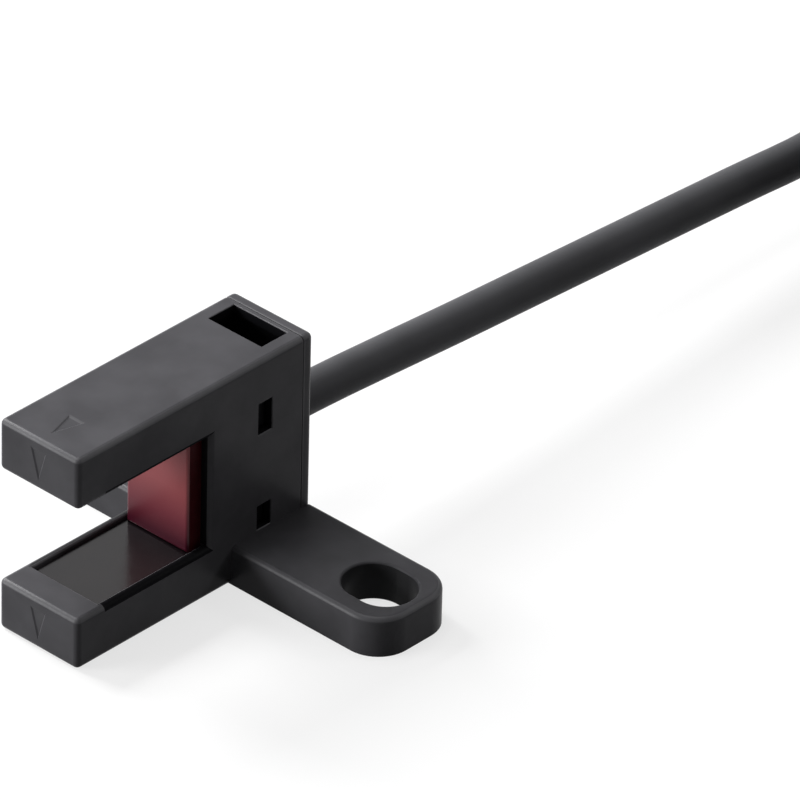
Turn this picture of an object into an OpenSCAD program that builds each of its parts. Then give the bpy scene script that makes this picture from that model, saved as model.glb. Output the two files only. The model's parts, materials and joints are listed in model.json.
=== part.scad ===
// Fork-type photo sensor: a moulded body with two arms over a sensing gap, a column,
// two slotted flanges at the base and a cable out of the back, wound into a coil.
// Millimetres. The origin is the middle between the two mounting slots, on the base.
// +X runs along the flanges, +Y from the fork's tips to the cable, +Z up.

/* [Fork] */
// Width of the arms and the column
arm_w = 5.1; // [4.8:0.1:8]
// Height of each arm
arm_h = 2.75; // [2.6:0.05:5]
// Sensing gap between the arms
gap_h = 6; // [5.5:0.1:15]
// Depth of the sensing slot, from the tips to its end wall
slot_depth = 8.6; // [7:0.1:20]
// Depth of the column behind the slot, with its lid
column_depth = 6.8; // [6.6:0.1:12]
// Rounding of the moulded edges
edge_r = 0.3; // [0.1:0.05:0.4]

/* [Flanges] */
// Width of a flange from front to back
flange_w = 5.3; // [4.6:0.1:7]
// Thickness of the flanges
flange_t = 2.1; // [1.2:0.1:3]
// Corner radius at the ends of the flanges
flange_corner_r = 1.8; // [0.8:0.1:2.2]
// Distance between the two mounting slots
slot_pitch = 19; // [14:0.1:30]
// Distance from a slot's middle to the end of its flange
slot_end = 2.5; // [2.4:0.05:4]
// Width of a mounting slot
slot_w = 3.1; // [2.2:0.1:3.6]
// Length of a mounting slot
slot_l = 3.8; // [3.7:0.1:4.6]

/* [Shell] */
// Side walls of the arms and the column
side_wall = 0.65; // [0.55:0.05:0.8]
// Skin at the top, the base and the tips
skin = 0.5; // [0.4:0.05:0.6]
// Wall at the end of the slot
end_wall = 0.6; // [0.4:0.05:0.8]
// Rim of the case beside the windows
rim = 0.45; // [0.3:0.05:0.5]
// Clearance between pieces that fit together
fit = 0.04; // [0.02:0.01:0.06]

/* [Windows] */
// Distance from the tips to the windows
window_setback = 1.75; // [1:0.05:2]
// Depth of a window's face below the arm's inner face
window_recess = 0.25; // [0.2:0.05:0.6]
// Thickness of a window plate
window_t = 0.35; // [0.25:0.05:0.4]
// Distance from the tips to the optical axis
axis_setback = 2.7; // [2.4:0.1:4]
// Width of the slit on a window's inner face
slit_w = 0.5; // [0.3:0.1:1]
// Length of the slit
slit_l = 1.8; // [1:0.1:2.4]
// Depth of the slit
slit_depth = 0.15; // [0.05:0.05:0.2]

/* [Indicator] */
// How far the cover stands out of the slot's end wall
cover_proud = 0.85; // [0.4:0.05:1.5]
// Gap between the cover and the rims
cover_gap = 0.1; // [0.05:0.05:0.3]
// Width of the light guide behind the cover
guide_w = 2.8; // [1.6:0.1:3]
// Height of the light guide
guide_h = 4.2; // [2:0.1:5]
// How far the light guide reaches past the end wall
guide_past = 0.1; // [0.05:0.05:0.3]
// Width of the indicator lamp
lamp_w = 1; // [0.6:0.1:1.4]
// Height of the indicator lamp
lamp_h = 1.6; // [1:0.1:2]
// Thickness of the indicator lamp
lamp_t = 0.4; // [0.3:0.05:0.6]

/* [Lid] */
// Thickness of the rear lid
lid_t = 0.65; // [0.5:0.05:0.9]
// Width of a latch window
latch_w = 0.9; // [0.6:0.1:1.2]
// Height of an upper latch window
upper_latch_h = 1.7; // [1:0.1:2]
// Height of a lower latch window
lower_latch_h = 1.3; // [1:0.1:1.5]
// Thickness of a snap arm
latch_t = 0.4; // [0.3:0.05:0.45]
// Room round a snap arm
latch_gap = 0.1; // [0.05:0.05:0.15]
// How far a hook stands into its window
hook_l = 0.2; // [0.15:0.05:0.5]
// Distance from the back to the middle of the latch windows
latch_inset = 3.15; // [2.9:0.05:3.3]
// Upper latch, from the top face to its middle
latch_drop = 3.2; // [2.4:0.1:3.6]
// Lower latch, from the flange's top to its middle
latch_rise = 0.75; // [0.7:0.05:1.6]

/* [Cable clamp] */
// Width of the port in the top face
port_w = 3.4; // [2.9:0.1:3.6]
// Length of the port from front to back
port_l = 1.7; // [1:0.1:1.9]
// Distance from the back to the middle of the port
port_inset = 1.75; // [1.65:0.05:2]
// Depth of the clamp below the top face
clamp_drop = 2.4; // [0.6:0.1:2.6]
// Length of sheath in front of the clamp
sheath_past = 0.35; // [0.2:0.05:0.5]

/* [Electronics] */
// Width of the emitter and the receiver
element_w = 3.2; // [2.6:0.1:3.6]
// Length of the emitter and the receiver
element_l = 2.4; // [1.6:0.1:3]
// Radius of their lenses
lens_r = 0.8; // [0.5:0.05:1]
// Height of their lenses
lens_h = 0.2; // [0.1:0.05:0.3]
// Width of a leg
leg_w = 0.4; // [0.3:0.05:0.5]
// Thickness of a leg
leg_t = 0.2; // [0.15:0.05:0.3]
// Distance between the receiver's legs
leg_pitch = 1.27; // [1:0.01:1.3]
// Length of leg behind the board
leg_tail = 0.5; // [0.2:0.1:0.8]
// Thickness of the circuit board
board_t = 0.6; // [0.4:0.1:0.8]
// Width of a chip resistor or capacitor
chip_w = 0.5; // [0.3:0.05:0.6]
// Height of a chip above the board
chip_t = 0.4; // [0.2:0.05:0.6]
// Length of a chip
chip_l = 1; // [0.6:0.1:1.2]
// Distance between two chips in a row
chip_gap = 0.5; // [0.2:0.05:0.6]
// Width of an output transistor
transistor_w = 1.25; // [0.8:0.05:1.4]
// Height of a transistor above the board
transistor_t = 0.8; // [0.5:0.05:1]
// Length of a transistor's body
transistor_l = 1.4; // [1:0.1:1.8]
// Distance between the two transistors
transistor_gap = 0.3; // [0.2:0.05:0.6]
// Width, thickness and length of a transistor's foot
foot = [0.3, 0.15, 0.25];
// Distance between a transistor's two upper feet
foot_pitch = 0.8; // [0.6:0.05:0.9]

/* [Cable] */
// Diameter of the cable
cable_d = 2; // [1.6:0.1:2.2]
// Height of the cable's outlet above the base
cable_z = 5.95; // [5.5:0.05:6.4]
// Diameter of a core
core_d = 0.6; // [0.4:0.05:0.65]
// Distance between two cores on the board, in core diameters
core_spread = 3; // [2:0.1:3.2]
// Free length of the four leads at the far end
lead_l = 20; // [10:1:30]
// Length of the tinned end of a lead
tip_l = 5; // [3:1:8]
// Diameter of the tinned end of a lead
tip_d = 0.38; // [0.2:0.02:0.5]
// Inner radius of the coil
coil_inner_r = 7.3; // [5:0.1:9]
// Turns side by side in the coil
coil_columns = 6; // [3:1:8]
// Turns on top of each other in the coil
coil_layers = 6; // [3:1:8]
// Width of a coil tie
tie_w = 2.5; // [1.5:0.1:4]
// Thickness of a coil tie
tie_t = 0.4; // [0.3:0.05:0.6]

/* [Marks] */
// Width of an optical axis mark
mark_w = 1; // [0.6:0.1:1.4]
// Length of an optical axis mark
mark_l = 1.7; // [1:0.1:1.8]
// Depth of the marks
mark_depth = 0.05; // [0.05:0.01:0.2]
// Distance from an arm's edge to its mark
mark_inset = 0.5; // [0.4:0.1:0.8]

/* [Hidden] */

$fn = 48;
// Sides of the swept cable and its cores
cord_sides = 8;
// How far a cutter reaches past the face that it cuts
past = 1;

// Places of the legs across the arms
emitter_legs_x = [-leg_pitch / 2, leg_pitch / 2];
receiver_legs_x = [-leg_pitch, 0, leg_pitch];
// Heights
body_h = 2 * arm_h + gap_h;
window_z = arm_h - window_recess;
cavity_top = window_z - window_t;
element_h = cavity_top - skin - lens_h - fit;
leg_z = skin + element_h / 2;
upper_latch_z = body_h - latch_drop;
lower_latch_z = flange_t + latch_rise;
// Planes from the fork's tips to the back
back_y = flange_w / 2;
tip_y = back_y - slot_depth - column_depth;
slot_end_y = tip_y + slot_depth;
axis_y = tip_y + axis_setback;
column_y = slot_end_y + end_wall;
board_y = column_y + guide_past + lamp_t;
board_back_y = board_y + board_t;
lid_y = back_y - lid_t;
latch_y = back_y - latch_inset;
port_y = back_y - port_inset;
sheath_end_y = port_y - port_l / 2 - sheath_past;
// Widths
flange_span = slot_pitch + 2 * slot_end;
cavity_w = arm_w - 2 * side_wall;
channel_w = arm_w - 2 * rim;
clamp_w = cavity_w - 2 * (latch_t + 2 * latch_gap);
// The coil lies behind the sensor, and its ties keep it off the floor
coil_at = [13.3, 60.4];
coil_outer_r = coil_inner_r + coil_columns * cable_d;
coil_top = tie_t + coil_layers * cable_d;
tie_angles = [120, 10];
// The sheath's end lies on the coil's outer turn and bears inwards, and the leads fan out from there
end_r = 14;
end_from = 315;
end_to = 265;
lead_spread = 1.5;
// Part of a lead's length that an upper core stays up for, until it is clear of the lower one
lead_wait = 0.4;

// Cable route from the clamp to the coil
cable_route = [
    [0, sheath_end_y, cable_z], [0, back_y, cable_z], [0, 6, 5.85], [0, 10, 5.6], [0, 15, 5.25],
    [0, 20, 4.95], [0, 25, 4.65], [0, 30, 4.35], [0, 35, 4.05], [0, 41, 3.7], [-0.4, 43.5, 3.5],
    [-1.7, 46, 3.2], [-3.9, 49, 2.6], [-5.5, 52, 2.1], [-6.8, 56, 1.6], [-7.1, 60.4, 1.4]
];

// Colours
case_black = [0.13, 0.13, 0.14];
cable_black = [0.1, 0.1, 0.1];
cover_red = [0.75, 0.1, 0.12, 0.7];
window_dark = [0.1, 0.06, 0.07];
metal = [0.78, 0.78, 0.8];
board_green = [0.1, 0.35, 0.2];
emitter_resin = [0.75, 0.72, 0.8];
black_resin = [0.12, 0.11, 0.12];
lamp_amber = [0.95, 0.6, 0.3];
chip_black = [0.2, 0.2, 0.22];
chip_tan = [0.7, 0.6, 0.45];
tie_grey = [0.2, 0.2, 0.2];
core_names = ["brown", "black", "white", "blue"];
core_colours = [[0.35, 0.18, 0.08], [0.08, 0.08, 0.08], [0.9, 0.9, 0.88], [0.1, 0.25, 0.65]];

// Unit vector
function unit(v) = v / norm(v);

// Direction of a route at one of its points
function heading(route, i) = unit(route[min(i + 1, len(route) - 1)] - route[max(i - 1, 0)]);

// Direction of the turns at an angle
function along_turn(a) = [sin(a), -cos(a), 0];

// Ring of points square to a heading
function ring(centre, along, d) = let (
    side = unit(cross([0, 0, 1], along)),
    up = cross(along, side)
) [for (k = [0 : cord_sides - 1]) let (a = 360 * (k + 0.5) / cord_sides)
    centre + d / 2 * (cos(a) * side + sin(a) * up)];

// Point on the coil at an angle, a radius and a height
function on_coil(a, r, z) = [coil_at.x + r * cos(a), coil_at.y + r * sin(a), z];

// Soft step from 0 to 1
function ease(t) = t * t * (3 - 2 * t);

// Place of a core in the sheath's section
function core_place(i) = core_d / 2 * [is_left(i) ? -1 : 1, is_upper(i) ? 1 : -1];
function is_left(i) = i < 2;
function is_upper(i) = i % 2 == 0;

// Angle on the coil that a lead has reached after a length
function lead_angle(l) = end_to - l / end_r * 180 / PI;

// Route of one lead on top of the coil, from a length to another
function lead_route(i, from_l, to_l, steps) = [for (k = [0 : steps]) let (
    l = from_l + (to_l - from_l) * k / steps,
    part = min(1, l / lead_l),
    wait = is_upper(i) ? lead_wait : 0,
    down = ease(max(0, min(1, (part - wait) / (1 - lead_wait)))),
    r = end_r + core_place(i).x + lead_spread * (i - 1.5) * ease(part),
    z = coil_top + cable_d / 2 + core_place(i).y
) on_coil(lead_angle(l), r, z + (coil_top + core_d / 2 - z) * down)];

// Closed tube along a route, with its ends square to the given directions
module swept_tube(route, d, first = undef, last = undef) {
    count = len(route);
    rings = [for (i = [0 : count - 1]) let (
        at_start = i == 0 && !is_undef(first),
        at_end = i == count - 1 && !is_undef(last),
        along = at_start ? first : at_end ? last : heading(route, i)
    ) each ring(route[i], along, d)];
    last_ring = (count - 1) * cord_sides;
    sides = [for (i = [0 : count - 2], k = [0 : cord_sides - 1]) let (
        a = i * cord_sides + k,
        b = i * cord_sides + (k + 1) % cord_sides
    ) [a, a + cord_sides, b + cord_sides, b]];
    start_cap = [[for (k = [0 : cord_sides - 1]) k]];
    end_cap = [[for (k = [0 : cord_sides - 1]) last_ring + cord_sides - 1 - k]];
    polyhedron(rings, concat(sides, start_cap, end_cap));
}

// Rectangle with round corners, from its corner at the origin
module rounded_rect(a, b, r) {
    translate([r, 0]) square([a - 2 * r, b]);
    translate([0, r]) square([a, b - 2 * r]);
    for (x = [r, a - r], y = [r, b - r])
        translate([x, y]) circle(r);
}

// Block with round edges, centred on X, from y = 0 and z = 0
module rounded_block(size, r) {
    translate([-size.x / 2, 0, 0]) intersection() {
        linear_extrude(size.z) rounded_rect(size.x, size.y, r);
        translate([0, size.y, 0]) rotate([90, 0, 0])
            linear_extrude(size.y) rounded_rect(size.x, size.z, r);
        rotate([90, 0, 90]) linear_extrude(size.x) rounded_rect(size.y, size.z, r);
    }
}

// Plain block, centred on X, from y = 0 and z = 0
module block(size) {
    translate([-size.x / 2, 0, 0]) cube(size);
}

// Turns what is drawn for the lower arm over to the upper arm
module upper() {
    translate([0, 0, body_h]) mirror([0, 0, 1]) children();
}

// Half of a plate's section with a round top edge
module edge_section(half) {
    square([half, flange_t - edge_r]);
    square([half - edge_r, flange_t]);
    translate([half - edge_r, flange_t - edge_r]) circle(edge_r);
}

// Both halves of that section
module plate_section(width) {
    edge_section(width / 2);
    mirror([1, 0]) edge_section(width / 2);
}

// Flange plate with round corners and round top edges
module flange_plate() {
    run_x = flange_span - 2 * flange_corner_r;
    run_y = flange_w - 2 * flange_corner_r;
    translate([-run_x / 2, 0, 0]) rotate([90, 0, 90]) linear_extrude(run_x) plate_section(flange_w);
    translate([0, run_y / 2, 0]) rotate([90, 0, 0]) linear_extrude(run_y) plate_section(flange_span);
    for (x = [-run_x / 2, run_x / 2], y = [-run_y / 2, run_y / 2])
        translate([x, y, 0]) rotate_extrude() edge_section(flange_corner_r);
}

// Cutter for one mounting slot
module mounting_slot() {
    travel = slot_l - slot_w;
    for (x = [-travel / 2, travel / 2])
        translate([x, 0, -past]) cylinder(d = slot_w, h = flange_t + 2 * past);
    translate([0, -slot_w / 2, -past]) block([travel, slot_w, flange_t + 2 * past]);
}

// Cutter for an optical axis mark, a triangle with its point at the origin
module axis_mark() {
    translate([0, 0, -mark_depth]) linear_extrude(mark_depth + past)
        polygon([[0, 0], [mark_w / 2, mark_l], [-mark_w / 2, mark_l]]);
}

// Outer form of the fork, as deep as the body
module fork_form() {
    body_depth = slot_depth + column_depth;
    translate([0, tip_y, 0]) {
        rounded_block([arm_w, body_depth, arm_h], edge_r);
        translate([0, 0, body_h - arm_h]) rounded_block([arm_w, body_depth, arm_h], edge_r);
        translate([0, slot_depth, 0]) rounded_block([arm_w, column_depth, body_h], edge_r);
    }
}

// Room behind the rear lid's front plane
module lid_room(width) {
    translate([0, lid_y, -past]) block([width, lid_t + past, body_h + 2 * past]);
}

// Inside of one arm, with the channel for its window
module arm_hollow() {
    translate([0, tip_y + skin, skin])
        block([cavity_w, slot_depth + end_wall - skin + past, cavity_top - skin]);
    translate([0, tip_y + window_setback, cavity_top])
        block([channel_w, slot_depth - window_setback, arm_h - cavity_top + past]);
}

// Inside of the column, open at the back
module column_hollow() {
    translate([0, column_y, skin]) block([cavity_w, lid_y - column_y + past, body_h - 2 * skin]);
}

// Cable bore through the clamp, its saddle and the lid
module cable_bore() {
    translate([0, sheath_end_y - past, cable_z]) rotate([-90, 0, 0])
        cylinder(d = cable_d + 2 * fit, h = back_y - sheath_end_y + 2 * past);
}

// Saddle on the column's floor that the cable lies in
module saddle() {
    translate([0, port_y - port_l / 2 + fit, skin])
        block([clamp_w, port_l - 2 * fit, cable_z - skin]);
}

// Places of the four snap latches, each with the height of its window
module at_latches() {
    for (place = [[lower_latch_z, lower_latch_h], [upper_latch_z, upper_latch_h]]) {
        $latch_h = place[1];
        translate([0, latch_y, place[0]]) children();
        mirror([1, 0, 0]) translate([0, latch_y, place[0]]) children();
    }
}

module case() {
    color(case_black) difference() {
        union() {
            difference() {
                union() {
                    fork_form();
                    flange_plate();
                }
                column_hollow();
                arm_hollow();
                upper() arm_hollow();
            }
            saddle();
        }
        lid_room(arm_w + 2 * fit);
        cable_bore();
        // Opening for the light guide
        translate([0, slot_end_y - past, body_h / 2 - guide_h / 2 - fit])
            block([guide_w + 2 * fit, end_wall + 2 * past, guide_h + 2 * fit]);
        // Port for the cable clamp
        translate([0, port_y - port_l / 2, body_h - skin - past])
            block([port_w, port_l, skin + 2 * past]);
        // Latch windows
        at_latches() translate([cavity_w / 2 - past / 2, -latch_w / 2, -$latch_h / 2])
            cube([side_wall + past, latch_w, $latch_h]);
        for (x = [-slot_pitch / 2, slot_pitch / 2])
            translate([x, 0, 0]) mounting_slot();
        // Optical axis marks on the top face and on both tips
        translate([0, tip_y + mark_inset + edge_r, body_h]) axis_mark();
        for (z = [mark_inset, body_h - arm_h + mark_inset])
            translate([0, tip_y, z]) rotate([90, 0, 0]) axis_mark();
    }
}

// Snap arm with its hook, drawn for the right side
module snap_arm() {
    outer_x = cavity_w / 2 - latch_gap;
    inner_x = outer_x - latch_t;
    hook_x = cavity_w / 2 + hook_l;
    root = lid_y - latch_y;
    catch = latch_w / 2 - latch_gap;
    height = $latch_h - 2 * latch_gap;
    translate([0, 0, -height / 2]) linear_extrude(height) polygon([
        [inner_x, -catch], [outer_x, -catch], [hook_x, catch - latch_t], [hook_x, catch],
        [outer_x, catch], [outer_x, root], [inner_x, root]
    ]);
}

module rear_lid() {
    color(case_black) difference() {
        union() {
            intersection() {
                translate([0, back_y - column_depth, 0])
                    rounded_block([arm_w, column_depth, body_h], edge_r);
                lid_room(arm_w);
            }
            at_latches() snap_arm();
        }
        cable_bore();
    }
}

module indicator_cover() {
    width = channel_w - 2 * cover_gap;
    height = gap_h + 2 * window_recess;
    color(cover_red) {
        translate([0, slot_end_y - cover_proud, window_z]) block([width, cover_proud, height]);
        translate([0, slot_end_y, body_h / 2 - guide_h / 2])
            block([guide_w, end_wall + guide_past, guide_h]);
    }
}

// Window plate of the lower arm, with a slit inside on the optical axis
module window_plate() {
    front_y = tip_y + window_setback + fit;
    difference() {
        translate([0, front_y, cavity_top])
            block([channel_w - 2 * fit, slot_end_y - fit - front_y, window_t]);
        translate([0, axis_y - slit_w / 2, cavity_top - past])
            block([slit_l, slit_w, past + slit_depth]);
    }
}

module receiver_window() {
    color(window_dark) window_plate();
}

module emitter_window() {
    color(window_dark) upper() window_plate();
}

module cable_clamp() {
    color(case_black) difference() {
        translate([0, port_y - port_l / 2 + fit, cable_z])
            block([clamp_w, port_l - 2 * fit, body_h - clamp_drop - cable_z]);
        cable_bore();
    }
}

// Emitter or receiver on the lower arm's floor, with its domed lens
module element() {
    dome_r = (lens_r * lens_r + lens_h * lens_h) / (2 * lens_h);
    translate([0, axis_y - element_l / 2, skin]) block([element_w, element_l, element_h]);
    translate([0, axis_y, skin + element_h]) intersection() {
        translate([0, 0, lens_h - dome_r]) sphere(dome_r);
        cylinder(r = lens_r, h = lens_h);
    }
}

// Row of legs from an element to the back of the board
module legs(places) {
    from_y = axis_y + element_l / 2;
    for (x = places)
        translate([x, from_y, leg_z - leg_t / 2])
            block([leg_w, board_back_y + leg_tail - from_y, leg_t]);
}

module emitter() {
    color(emitter_resin) upper() element();
}

module emitter_legs() {
    color(metal) upper() legs(emitter_legs_x);
}

module receiver() {
    color(black_resin) element();
}

module receiver_legs() {
    color(metal) legs(receiver_legs_x);
}

// Holes in the board for a row of legs
module leg_holes(places) {
    for (x = places)
        translate([x, board_y - past, leg_z]) rotate([-90, 0, 0])
            cylinder(d = norm([leg_w, leg_t]) + 2 * fit, h = board_t + 2 * past);
}

module circuit_board() {
    color(board_green) difference() {
        translate([0, board_y, skin + fit])
            block([cavity_w - 2 * fit, board_t, body_h - 2 * (skin + fit)]);
        leg_holes(receiver_legs_x);
        upper() leg_holes(emitter_legs_x);
    }
}

module indicator_led() {
    color(lamp_amber) translate([0, board_y - lamp_t, (body_h - lamp_h) / 2])
        block([lamp_w, lamp_t, lamp_h]);
}

// Transistor on the board's back, with its three feet
module transistor() {
    translate([0, 0, -transistor_l / 2]) block([transistor_w, transistor_t, transistor_l]);
    for (x = [-foot_pitch / 2, foot_pitch / 2])
        translate([x, 0, transistor_l / 2]) block(foot);
    translate([0, 0, -transistor_l / 2 - foot.z]) block(foot);
}

module output_transistors() {
    step = transistor_w + transistor_gap;
    color(black_resin) for (x = [-step / 2, step / 2])
        translate([x, board_back_y, upper_latch_z]) transistor();
}

// Row of chips on the board's back
module chip_row(count, z) {
    step = chip_w + chip_gap;
    for (i = [0 : count - 1])
        translate([(i - (count - 1) / 2) * step, board_back_y, z])
            block([chip_w, chip_t, chip_l]);
}

module chip_resistors() {
    color(chip_black) chip_row(3, lower_latch_z + chip_gap);
}

module chip_capacitors() {
    color(chip_tan) chip_row(2, lower_latch_z - chip_l);
}

// Core from the sheath's end to its pad on the board
module core(i) {
    start = core_place(i);
    pad = core_spread * start;
    color(core_colours[i]) swept_tube([
        [start.x, sheath_end_y, cable_z + start.y],
        [start.x, sheath_end_y - core_d, cable_z + start.y],
        [pad.x, board_back_y + core_d, cable_z + pad.y],
        [pad.x, board_back_y, cable_z + pad.y]
    ], core_d);
}

module cable_run() {
    color(cable_black) swept_tube(cable_route, cable_d);
}

// Section of the coil, grown by the thickness of what goes round it
module coil_section(grown) {
    width = coil_columns * cable_d + 2 * grown;
    height = coil_layers * cable_d + 2 * grown;
    translate([coil_inner_r - grown, tie_t - grown]) rounded_rect(width, height, cable_d / 2 + grown);
}

module cable_coil() {
    color(cable_black) translate(coil_at) rotate_extrude() coil_section(0);
}

module coil_ties() {
    sweep = 2 * asin(tie_w / 2 / coil_outer_r);
    color(tie_grey) translate(coil_at) for (a = tie_angles)
        rotate(a - sweep / 2) rotate_extrude(angle = sweep) difference() {
            coil_section(tie_t);
            coil_section(0);
        }
}

module cable_end() {
    steps = 8;
    outer_r = coil_outer_r - cable_d / 2;
    end_z = coil_top + cable_d / 2;
    color(cable_black) swept_tube([for (k = [0 : steps]) let (t = k / steps)
        on_coil(end_from + (end_to - end_from) * t, outer_r + (end_r - outer_r) * ease(t), end_z)
    ], cable_d, along_turn(end_from), along_turn(end_to));
}

module lead(i) {
    steps = 12;
    far_end = along_turn(lead_angle(lead_l));
    color(core_colours[i]) swept_tube(lead_route(i, 0, lead_l, steps), core_d, along_turn(end_to), far_end);
}

module lead_tips() {
    steps = 3;
    color(metal) for (i = [0 : 3])
        swept_tube(lead_route(i, lead_l, lead_l + tip_l, steps), tip_d, along_turn(lead_angle(lead_l)));
}

case();
rear_lid();
indicator_cover();
emitter_window();
receiver_window();
cable_clamp();
emitter();
emitter_legs();
receiver();
receiver_legs();
circuit_board();
indicator_led();
output_transistors();
chip_resistors();
chip_capacitors();
for (i = [0 : 3]) {
    core(i);
    lead(i);
}
cable_run();
cable_coil();
coil_ties();
cable_end();
lead_tips();
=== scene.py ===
import json
import math

import bmesh
import bpy
from mathutils import Matrix, Vector


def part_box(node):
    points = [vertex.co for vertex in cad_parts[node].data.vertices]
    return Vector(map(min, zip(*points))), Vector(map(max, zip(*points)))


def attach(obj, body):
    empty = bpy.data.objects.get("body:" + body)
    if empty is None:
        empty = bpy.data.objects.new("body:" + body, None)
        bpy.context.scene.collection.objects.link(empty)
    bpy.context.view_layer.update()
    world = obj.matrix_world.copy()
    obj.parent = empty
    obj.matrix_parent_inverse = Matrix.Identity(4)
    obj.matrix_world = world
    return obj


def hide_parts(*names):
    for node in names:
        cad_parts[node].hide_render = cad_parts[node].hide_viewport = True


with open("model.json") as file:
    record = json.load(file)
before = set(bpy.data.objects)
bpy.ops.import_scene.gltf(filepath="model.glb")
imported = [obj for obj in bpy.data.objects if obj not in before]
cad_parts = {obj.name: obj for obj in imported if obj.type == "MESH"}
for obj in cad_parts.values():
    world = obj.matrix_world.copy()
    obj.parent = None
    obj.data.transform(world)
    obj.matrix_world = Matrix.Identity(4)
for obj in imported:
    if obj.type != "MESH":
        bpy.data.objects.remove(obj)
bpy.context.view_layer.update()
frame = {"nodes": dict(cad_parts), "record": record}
nodes = frame["nodes"]
mm = 0.001
print("frame loaded,", len(nodes), "nodes")

# camera at the photograph's angle
cameraView = {
    "azimuth": 42.59, "elevation": 33.13, "roll": 1.42,  # degrees
    "lens": 491.7, "sensor": 36.0, "distance": 500 * mm, "near": 10 * mm,
    "foot": (2.55 * mm, -12.75 * mm, 0),  # right front foot of the fork
    "aside": (14.77 * mm, 12.43 * mm),  # from that foot to the middle of the view
}


def placeCamera(view):
    azimuth, elevation, roll = (math.radians(view[k]) for k in ("azimuth", "elevation", "roll"))
    flat = math.cos(elevation)
    back = Vector((math.sin(azimuth) * flat, -math.cos(azimuth) * flat, math.sin(elevation)))
    right = Vector((math.cos(azimuth), math.sin(azimuth), 0))
    turn = Matrix.Rotation(roll, 3, back)
    up = turn @ back.cross(right)
    right = turn @ right
    aside, above = view["aside"]
    place = Vector(view["foot"]) + right * aside + up * above + back * view["distance"]
    data = bpy.data.cameras.new("camera")
    data.lens = view["lens"]
    data.sensor_width = view["sensor"]
    data.clip_start = view["near"]
    camera = bpy.data.objects.new("camera", data)
    bpy.context.scene.collection.objects.link(camera)
    camera.matrix_world = Matrix.Translation(place) @ Matrix((right, up, back)).transposed().to_4x4()
    bpy.context.scene.camera = camera


placeCamera(cameraView)


# materials: each one has its own shade, sheen and grain
def newMaterial(name):
    material = bpy.data.materials.new(name)
    material.use_nodes = True
    return material, material.node_tree, material.node_tree.nodes["Principled BSDF"]


def addNoise(tree, size, detail=3):
    place = tree.nodes.new("ShaderNodeTexCoord")
    noise = tree.nodes.new("ShaderNodeTexNoise")
    noise.inputs["Scale"].default_value = 1 / size
    noise.inputs["Detail"].default_value = detail
    tree.links.new(place.outputs["Object"], noise.inputs["Vector"])
    return noise.outputs["Fac"]


noiseSpan = {"sheen": (0.3, 0.7), "shade": (0.35, 0.65)}  # where most of a noise's values lie


def addRange(tree, value, low, high):
    # spreads the middle of a noise between two values
    start, end = noiseSpan["sheen"]
    spread = tree.nodes.new("ShaderNodeMapRange")
    spread.inputs["From Min"].default_value = start
    spread.inputs["From Max"].default_value = end
    spread.inputs["To Min"].default_value = low
    spread.inputs["To Max"].default_value = high
    tree.links.new(value, spread.inputs["Value"])
    return spread.outputs["Result"]


def addRamp(tree, value, stops):
    ramp = tree.nodes.new("ShaderNodeValToRGB")
    points = ramp.color_ramp.elements
    while len(points) < len(stops):
        points.new(0.5)
    for point, (at, color) in zip(points, stops):
        point.position = at
        point.color = (*color, 1)
    tree.links.new(value, ramp.inputs["Fac"])
    return ramp.outputs["Color"]


def addBump(tree, value, height, strength=1.0):
    bump = tree.nodes.new("ShaderNodeBump")
    bump.inputs["Distance"].default_value = height
    bump.inputs["Strength"].default_value = strength
    tree.links.new(value, bump.inputs["Height"])
    return bump.outputs["Normal"]


def finishMaterial(name, look):
    # a finish with two close shades, an uneven sheen and a fine grain
    material, tree, shader = newMaterial(name)
    shader.inputs["Metallic"].default_value = look.get("metal", 0.0)
    shader.inputs["Coat Weight"].default_value = look.get("coat", 0.0)
    shader.inputs["Specular IOR Level"].default_value = look.get("gloss", 0.5)
    cloud = addNoise(tree, look["cloud"])
    start, end = noiseSpan["shade"]
    shade = addRamp(tree, cloud, [(start, look["dark"]), (end, look["light"])])
    tree.links.new(shade, shader.inputs["Base Color"])
    grain = addNoise(tree, look["grain"])
    tree.links.new(addRange(tree, grain, *look["sheen"]), shader.inputs["Roughness"])
    tree.links.new(addBump(tree, grain, look["height"]), shader.inputs["Normal"])
    return material


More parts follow.
